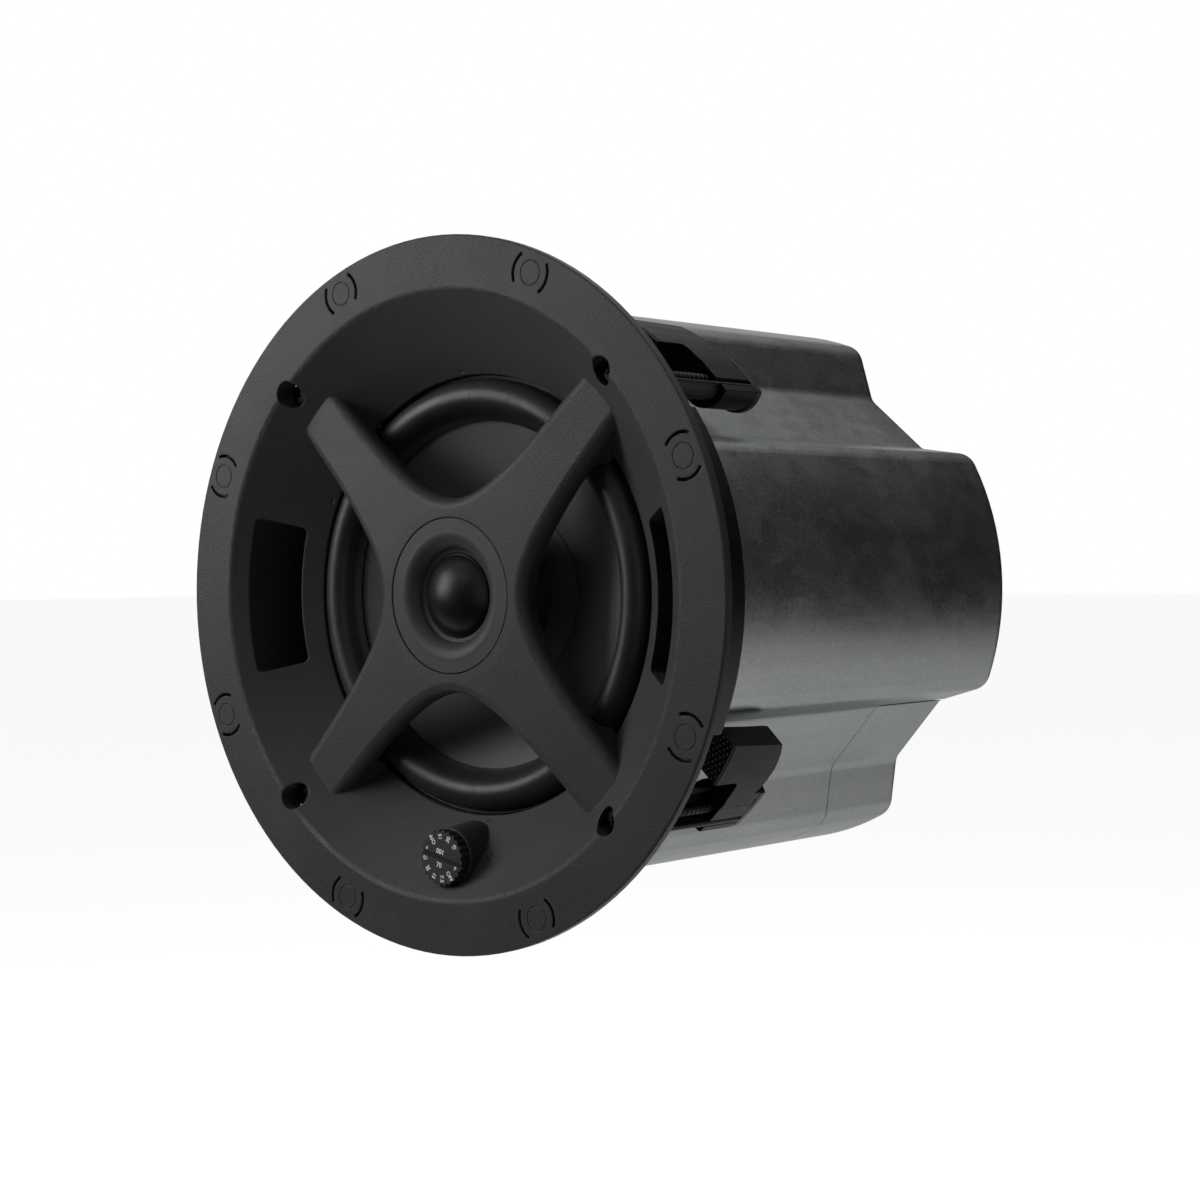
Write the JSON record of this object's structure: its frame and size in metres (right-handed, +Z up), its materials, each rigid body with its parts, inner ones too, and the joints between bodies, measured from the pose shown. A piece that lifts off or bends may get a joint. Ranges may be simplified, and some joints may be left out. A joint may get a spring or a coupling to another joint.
{
  "type": "in-ceiling loudspeaker with back can",
  "caption": "round two-way in-ceiling loudspeaker with a coaxial tweeter on an X-shaped bridge, reflex ports, a tap selector, swing-out clamps and a lobed galvanised back can",
  "frame": {"origin": "centre of the flange's back face, on the speaker's axis", "axes": "+Y runs back into the ceiling along the speaker's axis and the front faces -Y, +Z is up as the speaker is shown in the picture with its tap selector lowest, +X is to the right seen from the front"},
  "size_m": [0.245, 0.2145, 0.245],
  "materials": {
    "baffle_plastic": "satin",
    "knob_plastic": "satin",
    "clamp_plastic": "gloss",
    "clamp_pad_rubber": "matte",
    "can_steel": "satin",
    "screw_steel": "satin",
    "motor_steel": "satin",
    "magnet_ferrite": "matte",
    "magnet_nickel": "polished",
    "cone_pulp": "matte",
    "surround_rubber": "satin",
    "dome_silk": "satin",
    "tweeter_face_plastic": "satin",
    "basket_paint": "satin",
    "gasket_foam": "matte",
    "spider_cloth": "matte",
    "former_paper": "matte",
    "coil_copper": "satin",
    "duct_plastic": "satin",
    "wadding_fibre": "matte",
    "board_laminate": "satin",
    "capacitor_film": "satin",
    "core_laminate": "satin",
    "winding_tape": "satin",
    "terminal_plastic": "satin",
    "bush_rubber": "matte"
  },
  "bodies": {
    "root": {"baffle": "baffle_plastic", "grille_magnets": "magnet_nickel", "tweeter_plate": "tweeter_face_plastic", "tweeter_cup": "motor_steel", "tweeter_magnet": "magnet_nickel", "tweeter_pole": "motor_steel", "woofer_gasket": "gasket_foam", "woofer_surround": "surround_rubber", "spider": "spider_cloth", "woofer_basket": "basket_paint", "top_plate": "motor_steel", "woofer_magnet": "magnet_ferrite", "pole_plate": "motor_steel", "woofer_screws": "screw_steel", "selector_switch": "duct_plastic", "back_can": "can_steel", "can_gasket": "gasket_foam", "can_screws": "screw_steel", "terminal_cover": "can_steel", "terminal_tray": "can_steel", "cover_screws": "screw_steel", "cable_gland": "bush_rubber", "terminal_block": "terminal_plastic", "transformer_core": "core_laminate", "transformer_winding": "winding_tape", "crossover_board": "board_laminate", "crossover_chokes": "coil_copper", "crossover_capacitors": "capacitor_film", "wadding": "wadding_fibre", "port_duct_1": "duct_plastic", "port_duct_2": "duct_plastic"},
    "woofer_cone_body": {"woofer_cone": "cone_pulp", "dust_cap": "cone_pulp", "coil_former": "former_paper", "voice_coil": "coil_copper"},
    "tweeter_dome_body": {"tweeter_dome": "dome_silk", "tweeter_coil": "coil_copper"},
    "selector_body": {"selector_knob": "knob_plastic", "selector_shaft": "knob_plastic"},
    "clamp_screw_body_1": {"clamp_screw_1": "screw_steel"},
    "clamp_nut_body_1": {"clamp_nut_1": "screw_steel"},
    "clamp_arm_body_1": {"clamp_arm_1": "clamp_plastic", "clamp_pad_1": "clamp_pad_rubber"},
    "clamp_screw_body_2": {"clamp_screw_2": "screw_steel"},
    "clamp_nut_body_2": {"clamp_nut_2": "screw_steel"},
    "clamp_arm_body_2": {"clamp_arm_2": "clamp_plastic", "clamp_pad_2": "clamp_pad_rubber"},
    "clamp_screw_body_3": {"clamp_screw_3": "screw_steel"},
    "clamp_nut_body_3": {"clamp_nut_3": "screw_steel"},
    "clamp_arm_body_3": {"clamp_arm_3": "clamp_plastic", "clamp_pad_3": "clamp_pad_rubber"},
    "clamp_screw_body_4": {"clamp_screw_4": "screw_steel"},
    "clamp_nut_body_4": {"clamp_nut_4": "screw_steel"},
    "clamp_arm_body_4": {"clamp_arm_4": "clamp_plastic", "clamp_pad_4": "clamp_pad_rubber"}
  },
  "joints": [
    {"name": "woofer_stroke", "type": "slide", "parent": "root", "child": "woofer_cone_body", "axis": [0, 1, 0], "range_m": [-0.004, 0.004], "stiffness_N_per_m": 1500, "deforming": ["woofer_surround", "spider"]},
    {"name": "tweeter_stroke", "type": "slide", "parent": "root", "child": "tweeter_dome_body", "axis": [0, 1, 0], "range_m": [-0.0004, 0.0004], "stiffness_N_per_m": 1000},
    {"name": "selector_turn", "type": "hinge", "parent": "root", "child": "selector_body", "pos_m": [0, 0, -0.0894], "axis": [0, 1, 0], "range_deg": [-150, 150]},
    {"name": "clamp_draw_1", "type": "slide", "parent": "root", "child": "clamp_nut_body_1", "axis": [0, -1, 0], "range_m": [0, 0.032]},
    {"name": "clamp_screw_turn_1", "type": "hinge", "parent": "root", "child": "clamp_screw_body_1", "pos_m": [0.07248, 0.06, 0.07248], "axis": [0, 1, 0], "range_deg": [-5, 4805]},
    {"name": "clamp_swing_1", "type": "hinge", "parent": "clamp_nut_body_1", "child": "clamp_arm_body_1", "pos_m": [0.07248, 0.06, 0.07248], "axis": [0, 1, 0], "range_deg": [0, 90]},
    {"name": "clamp_draw_2", "type": "slide", "parent": "root", "child": "clamp_nut_body_2", "axis": [0, -1, 0], "range_m": [0, 0.032]},
    {"name": "clamp_screw_turn_2", "type": "hinge", "parent": "root", "child": "clamp_screw_body_2", "pos_m": [-0.07248, 0.06, 0.07248], "axis": [0, 1, 0], "range_deg": [-5, 4805]},
    {"name": "clamp_swing_2", "type": "hinge", "parent": "clamp_nut_body_2", "child": "clamp_arm_body_2", "pos_m": [-0.07248, 0.06, 0.07248], "axis": [0, 1, 0], "range_deg": [0, 90]},
    {"name": "clamp_draw_3", "type": "slide", "parent": "root", "child": "clamp_nut_body_3", "axis": [0, -1, 0], "range_m": [0, 0.032]},
    {"name": "clamp_screw_turn_3", "type": "hinge", "parent": "root", "child": "clamp_screw_body_3", "pos_m": [-0.07248, 0.06, -0.07248], "axis": [0, 1, 0], "range_deg": [-5, 4805]},
    {"name": "clamp_swing_3", "type": "hinge", "parent": "clamp_nut_body_3", "child": "clamp_arm_body_3", "pos_m": [-0.07248, 0.06, -0.07248], "axis": [0, 1, 0], "range_deg": [0, 90]},
    {"name": "clamp_draw_4", "type": "slide", "parent": "root", "child": "clamp_nut_body_4", "axis": [0, -1, 0], "range_m": [0, 0.032]},
    {"name": "clamp_screw_turn_4", "type": "hinge", "parent": "root", "child": "clamp_screw_body_4", "pos_m": [0.07248, 0.06, -0.07248], "axis": [0, 1, 0], "range_deg": [-5, 4805]},
    {"name": "clamp_swing_4", "type": "hinge", "parent": "clamp_nut_body_4", "child": "clamp_arm_body_4", "pos_m": [0.07248, 0.06, -0.07248], "axis": [0, 1, 0], "range_deg": [0, 90]}
  ],
  "couplings": [
    {"joint": "clamp_screw_turn_1", "follows": "clamp_draw_1", "rad_per_m": 2618},
    {"joint": "clamp_screw_turn_2", "follows": "clamp_draw_2", "rad_per_m": 2618},
    {"joint": "clamp_screw_turn_3", "follows": "clamp_draw_3", "rad_per_m": 2618},
    {"joint": "clamp_screw_turn_4", "follows": "clamp_draw_4", "rad_per_m": 2618}
  ]
}
